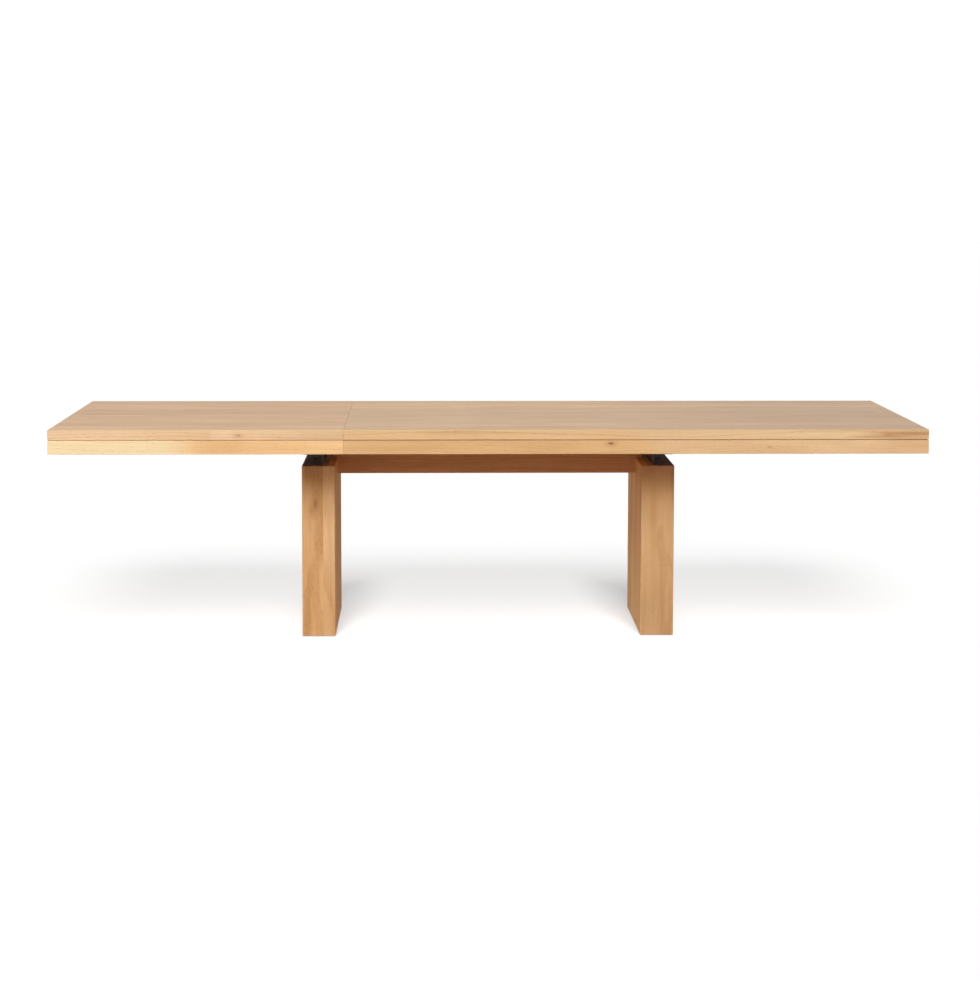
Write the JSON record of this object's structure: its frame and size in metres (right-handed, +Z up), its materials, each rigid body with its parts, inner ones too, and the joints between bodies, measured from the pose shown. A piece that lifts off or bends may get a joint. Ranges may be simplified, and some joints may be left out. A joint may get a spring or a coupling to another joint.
{
  "type": "extending dining table",
  "caption": "Long oak dining table on slab legs with a beam between them; the top slides on its base to re-centre and an end leaf rests on pull-out bearers.",
  "frame": {"origin": "on the floor under the middle of the base, which is also the middle of the extended top", "axes": "+X along the top from the leaf towards the main top, +Y from front to back, +Z up"},
  "size_m": [3, 1, 0.76],
  "materials": {
    "oak_main_panel": "satin oiled oak, long boards along the length",
    "oak_leaf_panel": "satin oiled oak, a little lighter than the main top",
    "oak_main_apron": "satin oiled oak",
    "oak_leaf_apron": "satin oiled oak, lighter than the main apron",
    "oak_leg": "satin oiled oak with upright staves",
    "brown_oak": "oak stained brown, matte",
    "beech": "plain planed hardwood, unpolished",
    "black_steel": "black powder coat",
    "zinc_steel": "zinc plated",
    "black_nylon": "black nylon"
  },
  "bodies": {
    "base": {"left_leg_outer_board": "oak_leg", "left_leg_inner_board": "oak_leg", "left_leg_front_board": "oak_leg", "left_leg_back_board": "oak_leg", "left_leg_top_plug": "oak_leg", "left_leg_foot_plug": "oak_leg", "right_leg_outer_board": "oak_leg", "right_leg_inner_board": "oak_leg", "right_leg_front_board": "oak_leg", "right_leg_back_board": "oak_leg", "right_leg_top_plug": "oak_leg", "right_leg_foot_plug": "oak_leg", "floor_glides": "black_nylon", "stretcher_beam": "brown_oak", "beam_bolts": "zinc_steel", "beam_barrel_nuts": "zinc_steel", "lap_screws": "zinc_steel", "left_slide_channel": "black_steel", "right_slide_channel": "black_steel", "channel_screws": "zinc_steel", "left_glide_pads": "black_nylon", "right_glide_pads": "black_nylon", "left_keepers": "black_steel", "right_keepers": "black_steel", "keeper_bolts": "zinc_steel"},
    "main_top": {"main_panel": "oak_main_panel", "main_front_apron": "oak_main_apron", "main_back_apron": "oak_main_apron", "main_right_apron": "oak_main_apron", "main_left_apron": "oak_main_apron", "front_runner": "beech", "back_runner": "beech", "front_guide": "beech", "back_guide": "beech", "runner_screws": "zinc_steel", "guide_screws": "zinc_steel", "main_corner_blocks": "beech", "bearer_stops": "beech", "slide_stops": "beech", "latch_pivots": "zinc_steel"},
    "front_support": {"front_bearer": "beech", "front_bearer_pin": "zinc_steel"},
    "back_support": {"back_bearer": "beech", "back_bearer_pin": "zinc_steel"},
    "leaf": {"leaf_panel": "oak_leaf_panel", "leaf_front_apron": "oak_leaf_apron", "leaf_back_apron": "oak_leaf_apron", "leaf_left_apron": "oak_leaf_apron", "leaf_right_apron": "oak_leaf_apron", "leaf_inner_batten": "beech", "leaf_outer_batten": "beech", "leaf_batten_screws": "zinc_steel", "leaf_corner_blocks": "beech", "latch_keeper_pins": "zinc_steel"},
    "front_hook": {"front_latch_hook": "zinc_steel"},
    "back_hook": {"back_latch_hook": "zinc_steel"}
  },
  "joints": [
    {"name": "top_slide", "type": "slide", "parent": "base", "child": "main_top", "axis": [1, 0, 0], "range_m": [-0.5, 0]},
    {"name": "front_bearer_slide", "type": "slide", "parent": "main_top", "child": "front_support", "axis": [1, 0, 0], "range_m": [0, 0.95]},
    {"name": "back_bearer_slide", "type": "slide", "parent": "main_top", "child": "back_support", "axis": [1, 0, 0], "range_m": [0, 0.95]},
    {"name": "leaf_lift", "type": "slide", "parent": "main_top", "child": "leaf", "axis": [0, 0, 1], "range_m": [0, 0.3]},
    {"name": "front_latch_turn", "type": "hinge", "parent": "main_top", "child": "front_hook", "pos_m": [-0.488, -0.33, 0.6725], "axis": [0, 0, 1], "range_deg": [0, 90]},
    {"name": "back_latch_turn", "type": "hinge", "parent": "main_top", "child": "back_hook", "pos_m": [-0.488, 0.33, 0.6725], "axis": [0, 0, -1], "range_deg": [0, 90]}
  ]
}
